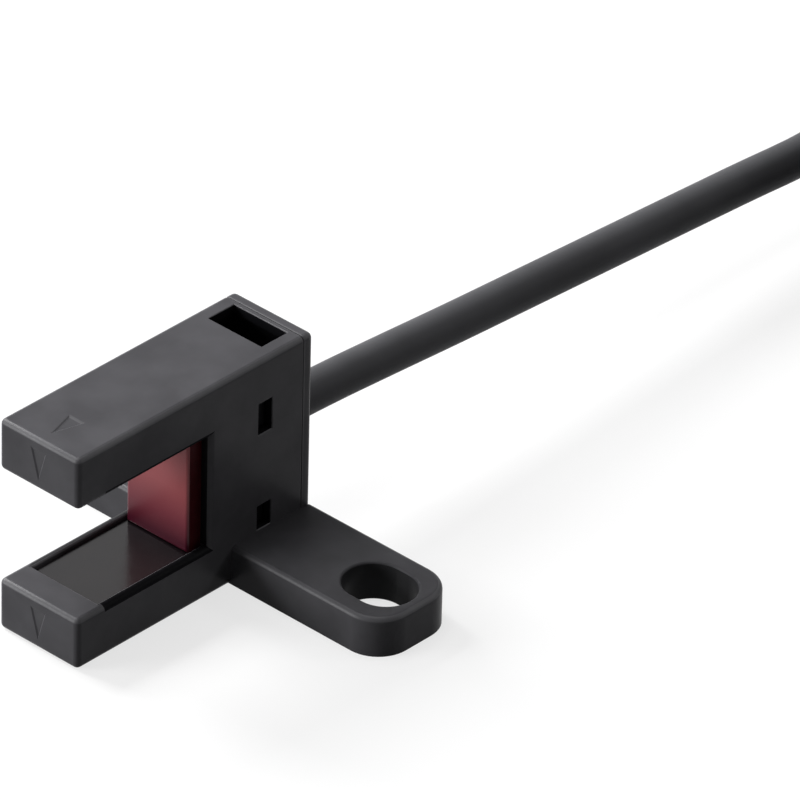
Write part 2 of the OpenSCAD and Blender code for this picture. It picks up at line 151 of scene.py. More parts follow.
# the case has four finishes: outside, worn edges, and two of painted shade: deep inside and lighter on slot
# walls
finishes = {
    "case_plastic": {"dark": (0.058, 0.057, 0.062), "light": (0.074, 0.073, 0.079), "cloud": 2.5 * mm,
                     "sheen": (0.28, 0.36), "grain": 0.12 * mm, "height": 0.0015 * mm, "gloss": 0.05},
    "case_edge": {"dark": (0.058, 0.057, 0.062), "light": (0.074, 0.073, 0.079), "cloud": 2.5 * mm,
                  "sheen": (0.42, 0.50), "grain": 0.12 * mm, "height": 0.0015 * mm, "gloss": 0.22},
    # painted deep shade, for the hollows, the slot's end wall and the rims away from the lamps
    "case_painted_deep_shade": {"dark": (0.005, 0.005, 0.006), "light": (0.007, 0.007, 0.008), "cloud": 2.5 * mm,
                  "sheen": (0.40, 0.50), "grain": 0.2 * mm, "height": 0.001 * mm, "gloss": 0.02},
    # painted shade, for the slot walls and the rims on the lamps' side
    "case_painted_shade": {"dark": (0.028, 0.028, 0.030), "light": (0.034, 0.034, 0.036), "cloud": 1.5 * mm,
                  "sheen": (0.30, 0.40), "grain": 0.2 * mm, "height": 0.001 * mm, "gloss": 0.05},
    "dark_window": {"dark": (0.006, 0.005, 0.006), "light": (0.009, 0.007, 0.008), "cloud": 3 * mm,
                    "sheen": (0.16, 0.22), "grain": 0.5 * mm, "height": 0.001 * mm, "gloss": 0.38},
    "cable_sheath": {"dark": (0.062, 0.062, 0.066), "light": (0.075, 0.075, 0.080), "cloud": 4 * mm,
                     "sheen": (0.46, 0.58), "grain": 0.2 * mm, "height": 0.006 * mm, "gloss": 0.05},
    # painted shade on the red block's sides, which face away from the lamps
    "cover_painted_side_shade": {"dark": (0.030, 0.002, 0.003), "light": (0.040, 0.002, 0.005), "cloud": 1.5 * mm,
                   "sheen": (0.30, 0.42), "grain": 0.5 * mm, "height": 0.0005 * mm, "gloss": 0.05},
    "emitter_resin": {"dark": (0.46, 0.44, 0.52), "light": (0.54, 0.52, 0.60), "cloud": 1 * mm,
                      "sheen": (0.10, 0.16), "grain": 0.3 * mm, "height": 0.001 * mm, "coat": 0.4},
    "receiver_resin": {"dark": (0.018, 0.018, 0.020), "light": (0.024, 0.024, 0.026), "cloud": 1 * mm,
                       "sheen": (0.20, 0.30), "grain": 0.1 * mm, "height": 0.002 * mm},
    "tinned_metal": {"dark": (0.66, 0.66, 0.68), "light": (0.76, 0.76, 0.78), "cloud": 0.6 * mm,
                     "sheen": (0.22, 0.38), "grain": 0.15 * mm, "height": 0.004 * mm, "metal": 1.0},
    "board": {"dark": (0.020, 0.12, 0.05), "light": (0.035, 0.18, 0.08), "cloud": 1.2 * mm,
              "sheen": (0.25, 0.38), "grain": 0.2 * mm, "height": 0.003 * mm},
    "lamp_resin": {"dark": (0.80, 0.40, 0.17), "light": (0.88, 0.50, 0.24), "cloud": 0.5 * mm,
                   "sheen": (0.20, 0.30), "grain": 0.1 * mm, "height": 0.001 * mm},
    "chip_black": {"dark": (0.030, 0.030, 0.034), "light": (0.045, 0.045, 0.050), "cloud": 0.4 * mm,
                   "sheen": (0.40, 0.55), "grain": 0.08 * mm, "height": 0.003 * mm},
    "chip_tan": {"dark": (0.44, 0.31, 0.18), "light": (0.54, 0.40, 0.26), "cloud": 0.4 * mm,
                 "sheen": (0.45, 0.60), "grain": 0.08 * mm, "height": 0.003 * mm},
    "brown_insulation": {"dark": (0.11, 0.04, 0.016), "light": (0.15, 0.055, 0.022), "cloud": 1.5 * mm,
                         "sheen": (0.30, 0.40), "grain": 0.15 * mm, "height": 0.002 * mm},
    "black_insulation": {"dark": (0.013, 0.013, 0.014), "light": (0.018, 0.018, 0.019), "cloud": 1.5 * mm,
                         "sheen": (0.30, 0.40), "grain": 0.15 * mm, "height": 0.002 * mm},
    "white_insulation": {"dark": (0.74, 0.74, 0.72), "light": (0.82, 0.82, 0.80), "cloud": 1.5 * mm,
                         "sheen": (0.30, 0.40), "grain": 0.15 * mm, "height": 0.002 * mm},
    "blue_insulation": {"dark": (0.016, 0.07, 0.34), "light": (0.024, 0.09, 0.44), "cloud": 1.5 * mm,
                        "sheen": (0.30, 0.40), "grain": 0.15 * mm, "height": 0.002 * mm},
    "tie_plastic": {"dark": (0.040, 0.040, 0.044), "light": (0.052, 0.052, 0.056), "cloud": 1.5 * mm,
                    "sheen": (0.40, 0.52), "grain": 0.1 * mm, "height": 0.004 * mm},
}
materials = {slot: finishMaterial(slot, look) for slot, look in finishes.items()}

# the red's ramp is painted light: paler towards the block's top, painted shade at its foot
coverLook = {
    "paintedLightShades": [(0.06, (0.046, 0.003, 0.011)), (0.25, (0.15, 0.028, 0.040)), (0.5, (0.27, 0.066, 0.073))],
    "sheen": (0.30, 0.42), "cloud": 1.5 * mm, "gloss": 0.2,
}


def coverMaterial(look):
    # clear red moulding; its red is its own, but paler towards its top is painted light and darker at its
    # foot painted shade
    material, tree, shader = newMaterial("red_cover")
    low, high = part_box("indicator_cover")
    place = tree.nodes.new("ShaderNodeTexCoord")
    split = tree.nodes.new("ShaderNodeSeparateXYZ")
    rise = tree.nodes.new("ShaderNodeMapRange")
    rise.inputs["From Min"].default_value = low.z
    rise.inputs["From Max"].default_value = high.z
    tree.links.new(place.outputs["Object"], split.inputs["Vector"])
    tree.links.new(split.outputs["Z"], rise.inputs["Value"])
    shader.inputs["Specular IOR Level"].default_value = look["gloss"]
    tree.links.new(addRamp(tree, rise.outputs["Result"], look["paintedLightShades"]), shader.inputs["Base Color"])
    haze = addNoise(tree, look["cloud"])
    tree.links.new(addRange(tree, haze, *look["sheen"]), shader.inputs["Roughness"])
    return material


materials["red_cover"] = coverMaterial(coverLook)
print("materials made:", len(materials))


# a finished piece gets its finish and stands for its nodes
def dressPiece(piece, slot, *replaced):
    piece.data.materials.clear()
    piece.data.materials.append(materials[slot])
    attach(piece, "root")
    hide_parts(*replaced)
    return piece


# cable: the run to the coil, the coil's turns and the sheath's end on top of them
cable = {
    "length": 3.0, "diameter": 2 * mm, "sides": 10, "smoothness": 4,
    "exit": (0, 2.65 * mm, 5.95 * mm),
    "route": [(0, -0.3, 5.95), (0, 2.65, 5.95), (0, 6, 5.85), (0, 10, 5.6), (0, 15, 5.25), (0, 20, 4.95),
              (0, 25, 4.65), (0, 30, 4.35), (0, 35, 4.05), (0, 41, 3.7), (-0.4, 43.5, 3.5),
              (-1.7, 46, 3.2), (-3.9, 49, 2.6), (-5.5, 52, 2.1), (-6.8, 56, 1.6), (-7.1, 60.4, 1.4)],  # mm
    "columns": 6, "layers": 6, "shift": 45, "step": 22.5,  # degrees a turn needs to change its place
    "endRadius": 14 * mm, "endTurn": 50,
}
coilLow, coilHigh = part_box("cable_coil")
coilMiddle = (coilLow + coilHigh) / 2


def ease(t):
    return t * t * (3 - 2 * t)


def onCoil(degrees, radius, height):
    angle = math.radians(degrees)
    x = coilMiddle.x + radius * math.cos(angle)
    y = coilMiddle.y + radius * math.sin(angle)
    return Vector((x, y, height))


def coilPoints(first):
    # clockwise turns, in by one layer and out by the next
    thick = cable["diameter"]
    outer = (coilHigh.x - coilLow.x) / 2 - thick / 2
    radii = [outer - thick * i for i in range(cable["columns"])]
    shift = cable["shift"]
    points = []
    now = {"angle": 180.0, "radius": coilMiddle.x - first.x, "height": first.z}

    def turn(degrees, radius, height):
        steps = max(2, round(degrees / cable["step"]))
        fromRadius, fromHeight = now["radius"], now["height"]
        for i in range(1, steps + 1):
            t = ease(i / steps)
            points.append(onCoil(now["angle"] - degrees * i / steps, fromRadius + (radius - fromRadius) * t,
                                 fromHeight + (height - fromHeight) * t))
        now.update(angle=now["angle"] - degrees, radius=radius, height=height)

    turn(shift, outer, first.z)
    for layer in range(cable["layers"]):
        height = first.z + thick * layer
        for i, radius in enumerate(radii):
            endTurn = i in (0, len(radii) - 1)
            turn(360 - shift * (2 if endTurn else 1), radius, height)
            if i < len(radii) - 1:
                turn(shift, radii[i + 1], height)
        radii.reverse()
        turn(shift, radii[0], height + thick)
    turn(cable["endTurn"], cable["endRadius"], now["height"])
    return points, now["angle"]


def addCurve(name, lines, radius, sides, smoothness):
    # smooth round cords through the given points
    data = bpy.data.curves.new(name, "CURVE")
    data.dimensions = "3D"
    data.bevel_depth = radius
    data.bevel_resolution = sides
    data.resolution_u = smoothness
    data.use_fill_caps = True
    for line in lines:
        spline = data.splines.new("BEZIER")
        spline.bezier_points.add(len(line) - 1)
        for point, place in zip(spline.bezier_points, line):
            point.co = place
            point.handle_left_type = point.handle_right_type = "AUTO"
    piece = bpy.data.objects.new(name, data)
    bpy.context.scene.collection.objects.link(piece)
    return piece


route = [Vector(p) * mm for p in cable["route"]]
turns, endAngle = coilPoints(route[-1])
cord = addCurve("cable", [route + turns], cable["diameter"] / 2, cable["sides"], cable["smoothness"])
dressPiece(cord, "cable_sheath", "cable_run", "cable_coil", "cable_end")
print("cable laid, its end at", round(endAngle % 360), "degrees on the coil")

# leads: four cores fan out from the sheath's end, with tinned tips
leads = {
    "names": ("brown", "black", "white", "blue"), "length": 20 * mm, "tip": 5 * mm,
    "diameter": 0.6 * mm, "tipDiameter": 0.38 * mm, "spread": 1.5 * mm, "wait": 0.4, "steps": 14,
    "sides": 4, "smoothness": 4, "tipSmoothness": 3,
}


def leadPoint(i, length):
    # the same way as the solids: the upper cores come down once they are clear of the lower ones
    core = leads["diameter"] / 2
    side = (-core if i < 2 else core, core if i % 2 == 0 else -core)
    part = max(0, min(1, length / leads["length"]))
    wait = leads["wait"] if i % 2 == 0 else 0
    down = ease(max(0, min(1, (part - wait) / (1 - leads["wait"]))))
    fromMiddle = i - (len(leads["names"]) - 1) / 2
    radius = cable["endRadius"] + side[0] + leads["spread"] * fromMiddle * ease(part)
    top = coilHigh.z
    height = top + cable["diameter"] / 2 + side[1]
    height += (top + core - height) * down
    return onCoil(endAngle - math.degrees(length / cable["endRadius"]), radius, height)


def leadLine(i, start, end):
    steps = leads["steps"]
    return [leadPoint(i, start + (end - start) * k / steps) for k in range(steps + 1)]


for i, name in enumerate(leads["names"]):
    line = leadLine(i, 0, leads["length"])
    piece = addCurve("leadwire_" + name, [line], leads["diameter"] / 2, leads["sides"], leads["smoothness"])
    dressPiece(piece, name + "_insulation", "lead_" + name)
tipStart, tipEnd = leads["length"] - leads["diameter"], leads["length"] + leads["tip"]
tipLines = [leadLine(i, tipStart, tipEnd) for i in range(len(leads["names"]))]
tips = addCurve("tinned_tips", tipLines, leads["tipDiameter"] / 2, leads["sides"], leads["tipSmoothness"])
dressPiece(tips, "tinned_metal", "lead_tips")
print("leads laid")


# shared ways of moulding: rounded blocks, joined and cut
tiny = 0.001 * mm  # places nearer than this are the same
hair = 0.01 * mm  # cuts and tests reach this far past a plane
gridDigits = 7  # decimals of a metre
# shares of a direction, from 0 across an axis to 1 along it
facing = {"along": 0.999, "flat": 0.98, "square": 0.9, "turned": 0.5, "raised": 0.2, "upright": 0.1,
          "sloped": 0.05}


def addBlock(bm, low, high):
    size = Vector(high) - Vector(low)
    middle = (Vector(high) + Vector(low)) / 2
    place = Matrix.Translation(middle) @ Matrix.Diagonal((*size, 1))
    bmesh.ops.create_cube(bm, size=1, matrix=place)


def addPrism(bm, outline, shift):
    # a flat outline pushed along one direction
    face = bm.faces.new([bm.verts.new(p) for p in outline])
    made = bmesh.ops.extrude_face_region(bm, geom=[face])["geom"]
    bmesh.ops.translate(bm, verts=[v for v in made if isinstance(v, bmesh.types.BMVert)], vec=shift)
    bmesh.ops.recalc_face_normals(bm, faces=bm.faces)


def roundEdges(bm, edges, radius, steps):
    bmesh.ops.bevel(bm, geom=list(edges), offset=radius, offset_type="OFFSET", affect="EDGES",
                    segments=steps, profile=0.5, material=-1, clamp_overlap=True)


def isAlong(edge, axis):
    way = edge.verts[1].co - edge.verts[0].co
    return abs(way[axis]) > facing["along"] * way.length


def trimAt(bm, y, keepFront):
    # cuts everything past a plane across Y and closes the cut
    parts = list(bm.verts) + list(bm.edges) + list(bm.faces)
    cut = bmesh.ops.bisect_plane(bm, geom=parts, plane_co=(0, y, 0), plane_no=(0, 1, 0),
                                 clear_outer=keepFront, clear_inner=not keepFront)["geom_cut"]
    bmesh.ops.edgeloop_fill(bm, edges=[e for e in cut if isinstance(e, bmesh.types.BMEdge)])


def toSolid(bm, name="tool"):
    # places are rounded to a fine grid, so that faces in one plane meet exactly
    for vert in bm.verts:
        vert.co = [round(value, gridDigits) for value in vert.co]
    bmesh.ops.recalc_face_normals(bm, faces=bm.faces)
    mesh = bpy.data.meshes.new(name)
    bm.to_mesh(mesh)
    bm.free()
    solid = bpy.data.objects.new(name, mesh)
    bpy.context.scene.collection.objects.link(solid)
    return solid


def blockSolid(low, high):
    bm = bmesh.new()
    addBlock(bm, low, high)
    return toSolid(bm)


def combine(solid, operation, tools):
    for tool in tools:
        step = solid.modifiers.new(operation, "BOOLEAN")
        step.operation = operation
        step.object = tool
        step.solver = "EXACT"
    depsgraph = bpy.context.evaluated_depsgraph_get()
    mesh = bpy.data.meshes.new_from_object(solid.evaluated_get(depsgraph))
    solid.modifiers.clear()
    solid.data = mesh
    for tool in tools:
        bpy.data.objects.remove(tool)


def flareEnd(bm, axis, side, radius, steps=4):
    # lets one end of a cutter grow, so that the opening it cuts gets a round rim
    out = Vector((axis == 0, axis == 1, axis == 2)) * side
    end = max(bm.faces, key=lambda face: face.calc_center_median().dot(out))
    middle = end.calc_center_median()
    reach = [max(abs(v.co[k] - middle[k]) for v in end.verts) for k in range(3)]
    angles = [math.pi / 2 * i / steps for i in range(steps)]
    levels = [(radius * math.sin(a), radius * (1 - math.cos(a))) for a in angles]
    levels.append((2 * radius - levels[-1][0], 2 * radius - levels[-1][1]))  # as far past the surface
    for (low, narrow), (high, wide) in zip(levels, levels[1:]):
        made = bmesh.ops.extrude_face_region(bm, geom=[end])["geom"]
        bm.faces.remove(end)
        moved = [v for v in made if isinstance(v, bmesh.types.BMVert)]
        end = next(f for f in made if isinstance(f, bmesh.types.BMFace))
        grown = [1 if k == axis else (reach[k] + wide) / (reach[k] + narrow) for k in range(3)]
        bmesh.ops.scale(bm, verts=moved, vec=grown, space=Matrix.Translation(-middle))
        bmesh.ops.translate(bm, verts=moved, vec=out * (high - low))


def openingSolid(low, high, axis, side, radius, trim=None):
    # block cutter from inside up to a surface, with a round rim there
    bm = bmesh.new()
    low, high = Vector(low), Vector(high)
    (high if side > 0 else low)[axis] -= side * radius
    addBlock(bm, low, high)
    flareEnd(bm, axis, side, radius)
    if trim is not None:
        trimAt(bm, trim, keepFront=True)
    bmesh.ops.triangulate(bm, faces=bm.faces)
    return toSolid(bm)


def edgesAt(bm, y):
    return [e for e in bm.edges if all(abs(v.co.y - y) < tiny for v in e.verts)]


def smoothLook(piece, angle=28):
    # round stretches shade smoothly, flat faces stay flat
    mesh = piece.data
    mesh.polygons.foreach_set("use_smooth", [True] * len(mesh.polygons))
    mesh.set_sharp_from_angle(angle=math.radians(angle))
    weights = piece.modifiers.new("flat faces", "WEIGHTED_NORMAL")
    weights.keep_sharp = True


def paintFaces(piece, slot, isChosen):
    # gives some faces of a finished piece another finish
    piece.data.materials.append(materials[slot])
    for face in piece.data.polygons:
        if isChosen(face.center, face.normal):
            face.material_index = len(piece.data.materials) - 1


def isRounded(normal):
    return max(map(abs, normal)) < facing["flat"]


# ties: two strips round the coil, each with its ends twisted together
ties = {
    "angles": (120, 10), "width": 2.5 * mm, "thick": 0.4 * mm,
    "edge": 0.12 * mm, "edgeSteps": 2, "edgeAngle": 50, "cornerSteps": 6,
    "tail": 6 * mm, "tailWide": 1.2 * mm, "tailThick": 0.5 * mm, "twist": 540, "tailSteps": 30,
}


def loopSolid(grown, wide):
    # the coil's section as a block with round corners, across the coil's ring
    bm = bmesh.new()
    thick = cable["diameter"]
    outer = (coilHigh.x - coilLow.x) / 2
    inner = outer - cable["columns"] * thick
    low = (inner - grown, -wide / 2, coilLow.z - grown)
    high = (outer + grown, wide / 2, coilHigh.z + grown)
    addBlock(bm, low, high)
    roundEdges(bm, [e for e in bm.edges if isAlong(e, 1)], thick / 2 + grown, ties["cornerSteps"])
    return toSolid(bm, "twist_tie")


def tailSolid():
    # a flat strip turned about its own length
    bm = bmesh.new()
    wide, thick, steps = ties["tailWide"] / 2, ties["tailThick"] / 2, ties["tailSteps"]
    middle = (coilHigh.x - coilLow.x - cable["columns"] * cable["diameter"]) / 2
    start = Vector((middle, 0, coilHigh.z + wide))
    corners = [(-wide, -thick), (wide, -thick), (wide, thick), (-wide, thick)]
    face = bm.faces.new([bm.verts.new(start + Vector((x, 0, z))) for x, z in corners])
    turn = Matrix.Rotation(math.radians(ties["twist"] / steps), 3, "Y")
    for i in range(steps):
        made = bmesh.ops.extrude_face_region(bm, geom=[face])["geom"]
        if i > 0:
            bm.faces.remove(face)
        moved = [v for v in made if isinstance(v, bmesh.types.BMVert)]
        face = next(f for f in made if isinstance(f, bmesh.types.BMFace))
        bmesh.ops.rotate(bm, verts=moved, cent=start, matrix=turn)
        bmesh.ops.translate(bm, verts=moved, vec=(0, ties["tail"] / steps, 0))
    bmesh.ops.triangulate(bm, faces=bm.faces)
    return toSolid(bm)


def tieSolid(degrees):
    tie = loopSolid(ties["thick"], ties["width"])
    combine(tie, "DIFFERENCE", [loopSolid(0, 2 * ties["width"])])
    bm = bmesh.new()
    bm.from_mesh(tie.data)
    rims = [e for e in bm.edges if e.calc_face_angle_signed() > math.radians(ties["edgeAngle"])]
    roundEdges(bm, rims, ties["edge"], ties["edgeSteps"])
    bm.to_mesh(tie.data)
    bm.free()
    combine(tie, "UNION", [tailSolid()])
    middle = Vector((coilMiddle.x, coilMiddle.y, 0))
    tie.data.transform(Matrix.Translation(middle) @ Matrix.Rotation(math.radians(degrees), 4, "Z"))
    return tie


coilTies = tieSolid(ties["angles"][0])
combine(coilTies, "UNION", [tieSolid(ties["angles"][1])])
coilTies.name = "twist_ties"
smoothLook(coilTies)
dressPiece(coilTies, "tie_plastic", "coil_ties")
print("coil tied")

# case: fork and flanges in one moulding, hollow inside
body = {
    "armWidth": 5.1 * mm, "armHeight": 2.75 * mm, "slotDepth": 8.6 * mm, "lidThick": 0.65 * mm,
    "edge": 0.3 * mm, "edgeSteps": 5, "soft": 0.06 * mm, "seam": 0.09 * mm, "seamSteps": 2,
    "rim": 0.15 * mm, "skin": 0.5 * mm, "sideWall": 0.65 * mm, "endWall": 0.6 * mm, "fit": 0.04 * mm,
    "past": 1 * mm, "overlap": 0.25 * mm, "boreLength": 8 * mm, "boreSides": 48,
    "guide": (2.88 * mm, 4.28 * mm), "port": (3.4 * mm, 1.7 * mm), "portInset": 1.75 * mm,
}
flange = {
    "thick": 2.1 * mm, "depth": 5.3 * mm, "corner": 1.8 * mm, "cornerSteps": 12,
    "slotPitch": 19 * mm, "slotWidth": 3.1 * mm, "slotLength": 3.8 * mm, "slotSteps": 16,
    "slotSoft": 0.12 * mm,
}
latch = {
    "width": 0.9 * mm, "inset": 3.15 * mm, "thick": 0.4 * mm, "gap": 0.1 * mm, "hook": 0.2 * mm,
    "rows": ((2.85 * mm, 1.3 * mm), (8.3 * mm, 1.7 * mm)),  # middle and height of the windows
}
marks = {"width": 1.0 * mm, "length": 1.7 * mm, "depth": 0.05 * mm, "inset": 0.5 * mm, "slope": 0.25}

caseLow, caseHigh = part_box("case")
windowLow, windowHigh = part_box("receiver_window")
coverLow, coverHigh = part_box("indicator_cover")
clampLow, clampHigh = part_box("cable_clamp")
half = body["armWidth"] / 2
cavity = half - body["sideWall"]
height = caseHigh.z
tipY, backY = caseLow.y, caseHigh.y
slotEnd = tipY + body["slotDepth"]
columnY = slotEnd + body["endWall"]
lidY = backY - body["lidThick"]
latchY = backY - latch["inset"]
past = body["past"]
fit = body["fit"]


def forkSolid():
    # side outline of the fork, pushed across and rounded on its outward edges
    arm = body["armHeight"]
    far = backY + past
    corners = [(tipY, 0), (far, 0), (far, height), (tipY, height), (tipY, height - arm),
               (slotEnd, height - arm), (slotEnd, arm), (tipY, arm)]
    bm = bmesh.new()
    addPrism(bm, [(-half, y, z) for y, z in corners], (2 * half, 0, 0))
    outward = [e for e in bm.edges if e.calc_face_angle_signed() > 0
               and min(v.co.y for v in e.verts) < far - past / 2]
    roundEdges(bm, outward, body["edge"], body["edgeSteps"])
    trimAt(bm, lidY, keepFront=True)
    roundEdges(bm, edgesAt(bm, lidY), body["seam"], body["seamSteps"])
    parts = list(bm.verts) + list(bm.edges) + list(bm.faces)  # split where the windows' rims begin
    bmesh.ops.bisect_plane(bm, geom=parts, plane_co=(0, windowLow.y, 0), plane_no=(0, 1, 0))
    return toSolid(bm, "moulded_case")


def flangeSolid():
    bm = bmesh.new()
    depth = flange["depth"] / 2
    addBlock(bm, (caseLow.x, -depth, 0), (caseHigh.x, depth, flange["thick"]))
    roundEdges(bm, [e for e in bm.edges if isAlong(e, 2)], flange["corner"], flange["cornerSteps"])
    top = [e for e in bm.edges if all(abs(v.co.z - flange["thick"]) < tiny for v in e.verts)]
    roundEdges(bm, top, body["edge"], body["edgeSteps"])
    return toSolid(bm)


def slotSolid(x):
    # round-ended cutter for a mounting slot
    bm = bmesh.new()
    length, width, soft = flange["slotLength"] / 2, flange["slotWidth"] / 2, flange["slotSoft"]
    addBlock(bm, (x - length, -width, soft), (x + length, width, flange["thick"] - soft))
    roundEdges(bm, [e for e in bm.edges if isAlong(e, 2)], width, flange["slotSteps"])
    bmesh.ops.remove_doubles(bm, verts=bm.verts, dist=tiny)
    for side in (1, -1):
        flareEnd(bm, 2, side, soft)
    bmesh.ops.triangulate(bm, faces=bm.faces)
    return toSolid(bm)


def boreSolid():
    bm = bmesh.new()
    outlet = Vector(cable["exit"])
    turned = Matrix.Translation(outlet) @ Matrix.Rotation(math.pi / 2, 4, "X")
    radius = cable["diameter"] / 2 + fit
    bmesh.ops.create_cone(bm, cap_ends=True, segments=body["boreSides"], radius1=radius, radius2=radius,
                          depth=body["boreLength"], matrix=turned)
    return toSolid(bm)


def markSolid(tip, along, across, out):
    # shallow triangle with its point at tip and sloped walls
    bm = bmesh.new()
    tip, along, side = Vector(tip), Vector(along) * marks["length"], Vector(across) * marks["width"] / 2
    deep = Vector(out) * marks["depth"]
    outline = [tip, tip + along + side, tip + along - side]
    middle = tip + along * 2 / 3
    for grown, lift in ((1 - marks["slope"], -deep), (1 + marks["slope"], deep)):
        for point in outline:
            bm.verts.new(middle + (point - middle) * grown + lift)
    bmesh.ops.convex_hull(bm, input=bm.verts)
    return toSolid(bm)


def hollowSolids():
    arm, skin, ledge = body["armHeight"], body["skin"], windowLow.z
    channel, front = windowHigh.x + fit, windowLow.y - fit
    solids = [blockSolid((-cavity, columnY, skin), (cavity, lidY + past, height - skin))]
    for low, high in ((skin, ledge), (height - ledge, height - skin)):
        solids.append(blockSolid((-cavity, tipY + skin, low), (cavity, columnY + past, high)))
    for low, high, side in ((ledge, arm, 1), (height - arm, height - ledge, -1)):
        solids.append(openingSolid((-channel, front, low), (channel, slotEnd + past, high), 2, side,
                                   body["rim"], trim=slotEnd + hair))
    return solids


def openingSolids():
    guideWide, guideHigh = body["guide"]
    portWide, portLong = body["port"]
    portY = backY - body["portInset"]
    solids = [
        blockSolid((-half - fit, lidY, -past), (half + fit, lidY + 2 * past, height + past)),
        blockSolid((-guideWide / 2, slotEnd - past, (height - guideHigh) / 2),
                   (guideWide / 2, columnY + past / 2, (height + guideHigh) / 2)),
        openingSolid((-portWide / 2, portY - portLong / 2, height - body["skin"] - past),
                     (portWide / 2, portY + portLong / 2, height), 2, 1, body["soft"]),
        boreSolid(),
    ]
    for z, tall in latch["rows"]:
        for side in (-1, 1):
            near, out = sorted((side * (cavity - past / 2), side * half))
            low = (near, latchY - latch["width"] / 2, z - tall / 2)
            high = (out, latchY + latch["width"] / 2, z + tall / 2)
            solids.append(openingSolid(low, high, 0, side, body["soft"]))
    solids += [slotSolid(side * flange["slotPitch"] / 2) for side in (-1, 1)]
    return solids


def markSolids():
    inset = marks["inset"]
    tips = [(0, tipY, inset), (0, tipY, height - body["armHeight"] + inset)]
    solids = [markSolid(tip, (0, 0, 1), (1, 0, 0), (0, -1, 0)) for tip in tips]
    solids.append(markSolid((0, tipY + inset + body["edge"], height), (0, 1, 0), (1, 0, 0), (0, 0, 1)))
    return solids


def isAtSlot(place, around):
    # within a mounting slot's length and width, or as little outside it
    along = abs(abs(place.x) - flange["slotPitch"] / 2)
    return along < flange["slotLength"] / 2 + around and abs(place.y) < flange["slotWidth"] / 2 + around


def isFrame(place, normal):
    # rims beside the windows, with their outer edges: the places that get painted shade
    beside = abs(place.x) > windowHigh.x + body["rim"] and windowLow.y < place.y < slotEnd
    drop = body["armHeight"] - min(place.z, height - place.z)
    return beside and abs(normal.z) > facing["sloped"] and 0 < drop + hair < body["edge"]


def isPaintedDeepShade(place, normal):
    # painted deep shade: the hollow column with its openings, the wall at the slot's end, and the rims away
    # from the lamps
    thin = body["soft"] + 2 * hair
    arm = body["armHeight"]
    within = abs(place.x) < half - thin and thin < place.z < height - thin
    column = within and not isRounded(normal) and slotEnd + thin < place.y < lidY - thin
    inGap = abs(place.x) < half - body["edge"] / 2 and arm < place.z < height - arm
    end = inGap and normal.y < -facing["square"] and place.y > slotEnd - thin
    return column or end or (isFrame(place, normal) and place.x > 0)


def isPaintedShade(place, normal):
    # painted shade: walls of the mounting slots, and the rims on the lamps' side
    wall = isAtSlot(place, body["soft"]) and abs(normal.z) < facing["upright"]
    return wall or (isFrame(place, normal) and place.x < 0)


def isWorn(place, normal):
    # rounded edges that face up, but not the rims of the mounting slots
    return isRounded(normal) and normal.z > facing["raised"] and not isAtSlot(place, flange["slotSoft"])


def addCase():
    case = forkSolid()
    combine(case, "UNION", [flangeSolid()])
    combine(case, "DIFFERENCE", hollowSolids())
    saddleTop = (clampHigh.x, clampHigh.y, cable["exit"][2])
    combine(case, "UNION", [blockSolid((clampLow.x, clampLow.y, body["skin"]), saddleTop)])
    combine(case, "DIFFERENCE", openingSolids() + markSolids())
    smoothLook(case)
    dressPiece(case, "case_plastic", "case")
    # the dark inside, the rims and the slot walls get painted shade
    for slot, isChosen in (("case_edge", isWorn), ("case_painted_deep_shade", isPaintedDeepShade), ("case_painted_shade", isPaintedShade)):
        paintFaces(case, slot, isChosen)


addCase()
print("case moulded")


# rear lid: plate with round outer edges and four snap arms
def snapSolid(side, z, tall):
    outer = cavity - latch["gap"]
    inner = outer - latch["thick"]
    hook = cavity + latch["hook"]
    catch = latch["width"] / 2 - latch["gap"]
    root = lidY + body["overlap"] - latchY
    outline = [(inner, -catch), (outer, -catch), (hook, catch - latch["thick"]), (hook, catch),
               (outer, catch), (outer, root), (inner, root)]
    foot = z - tall / 2 + latch["gap"]
    bm = bmesh.new()
    addPrism(bm, [(side * x, latchY + y, foot) for x, y in outline], (0, 0, tall - 2 * latch["gap"]))
    return toSolid(bm)


def addLid():
    bm = bmesh.new()
    addBlock(bm, (-half, slotEnd, 0), (half, backY, height))
    roundEdges(bm, bm.edges, body["edge"], body["edgeSteps"])
    trimAt(bm, lidY, keepFront=False)
    roundEdges(bm, edgesAt(bm, lidY), body["seam"], body["seamSteps"])
    lid = toSolid(bm, "snap_lid")
    combine(lid, "UNION", [snapSolid(side, z, tall) for z, tall in latch["rows"] for side in (-1, 1)])
    combine(lid, "DIFFERENCE", [boreSolid()])
    smoothLook(lid)
    dressPiece(lid, "case_plastic", "rear_lid")
    paintFaces(lid, "case_edge", lambda place, normal: isRounded(normal) and normal.z > -facing["raised"])
    # the lid's inner face gets painted deep shade
    paintFaces(lid, "case_painted_deep_shade", lambda place, normal: place.y < lidY + hair)


addLid()
print("lid moulded")

# red indicator block with its light guide behind
cover = {"proud": 0.85 * mm, "edge": 0.18 * mm, "edgeSteps": 4}


def addCover():
    bm = bmesh.new()
    frontBack = coverLow.y + cover["proud"]
    addBlock(bm, coverLow, (coverHigh.x, frontBack, coverHigh.z))
    front = [e for e in bm.edges if all(v.co.y < coverLow.y + cover["proud"] / 2 for v in e.verts)]
    roundEdges(bm, front, cover["edge"], cover["edgeSteps"])
    block = toSolid(bm, "indicator_block")
    guideWide, guideHigh = (size - 2 * fit for size in body["guide"])
    guide = blockSolid((-guideWide / 2, frontBack - body["overlap"], (height - guideHigh) / 2),
                       (guideWide / 2, coverHigh.y, (height + guideHigh) / 2))
    combine(block, "UNION", [guide])
    smoothLook(block)
    dressPiece(block, "red_cover", "indicator_cover")
    # the block's sides get painted shade
    paintFaces(block, "cover_painted_side_shade", lambda place, normal: normal.y > -facing["turned"])


addCover()

